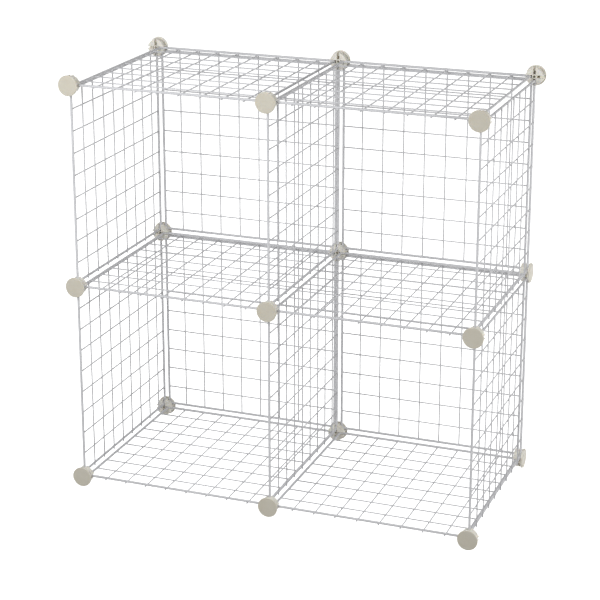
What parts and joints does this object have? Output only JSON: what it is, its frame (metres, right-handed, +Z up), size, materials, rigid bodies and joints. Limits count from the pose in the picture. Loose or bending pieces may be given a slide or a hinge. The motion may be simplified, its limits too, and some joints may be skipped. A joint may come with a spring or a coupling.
{
  "type": "wire cube storage unit",
  "caption": "Open-fronted cube storage unit of square welded wire grid panels, held at every corner by round plastic snap connectors",
  "frame": {"origin": "bottom centre of the bounding box, in the plane of the floor that the bottom connector discs stand on", "axes": "+Z up, front opening faces -Y, +X to the right seen from the front"},
  "size_m": [0.7566, 0.3836, 0.7566],
  "materials": {
    "powder_coated_wire": "white powder-coated steel wire, satin",
    "connector_plastic": "ivory injection-moulded ABS, fine satin"
  },
  "bodies": {
    "root": {"back_panel_lower_left": "powder_coated_wire", "back_panel_lower_right": "powder_coated_wire", "back_panel_upper_left": "powder_coated_wire", "back_panel_upper_right": "powder_coated_wire", "bottom_panel_left": "powder_coated_wire", "bottom_panel_right": "powder_coated_wire", "divider_panel_lower": "powder_coated_wire", "divider_panel_upper": "powder_coated_wire", "front_connector_bottom_left": "connector_plastic", "front_connector_bottom_middle": "connector_plastic", "front_connector_bottom_right": "connector_plastic", "front_connector_middle_left": "connector_plastic", "front_connector_middle_middle": "connector_plastic", "front_connector_middle_right": "connector_plastic", "front_connector_top_left": "connector_plastic", "front_connector_top_middle": "connector_plastic", "front_connector_top_right": "connector_plastic", "left_side_panel_lower": "powder_coated_wire", "left_side_panel_upper": "powder_coated_wire", "rear_connector_bottom_left": "connector_plastic", "rear_connector_bottom_middle": "connector_plastic", "rear_connector_bottom_right": "connector_plastic", "rear_connector_middle_left": "connector_plastic", "rear_connector_middle_middle": "connector_plastic", "rear_connector_middle_right": "connector_plastic", "rear_connector_top_left": "connector_plastic", "rear_connector_top_middle": "connector_plastic", "rear_connector_top_right": "connector_plastic", "right_side_panel_lower": "powder_coated_wire", "right_side_panel_upper": "powder_coated_wire", "shelf_panel_left": "powder_coated_wire", "shelf_panel_right": "powder_coated_wire", "top_panel_left": "powder_coated_wire", "top_panel_right": "powder_coated_wire"}
  },
  "joints": []
}
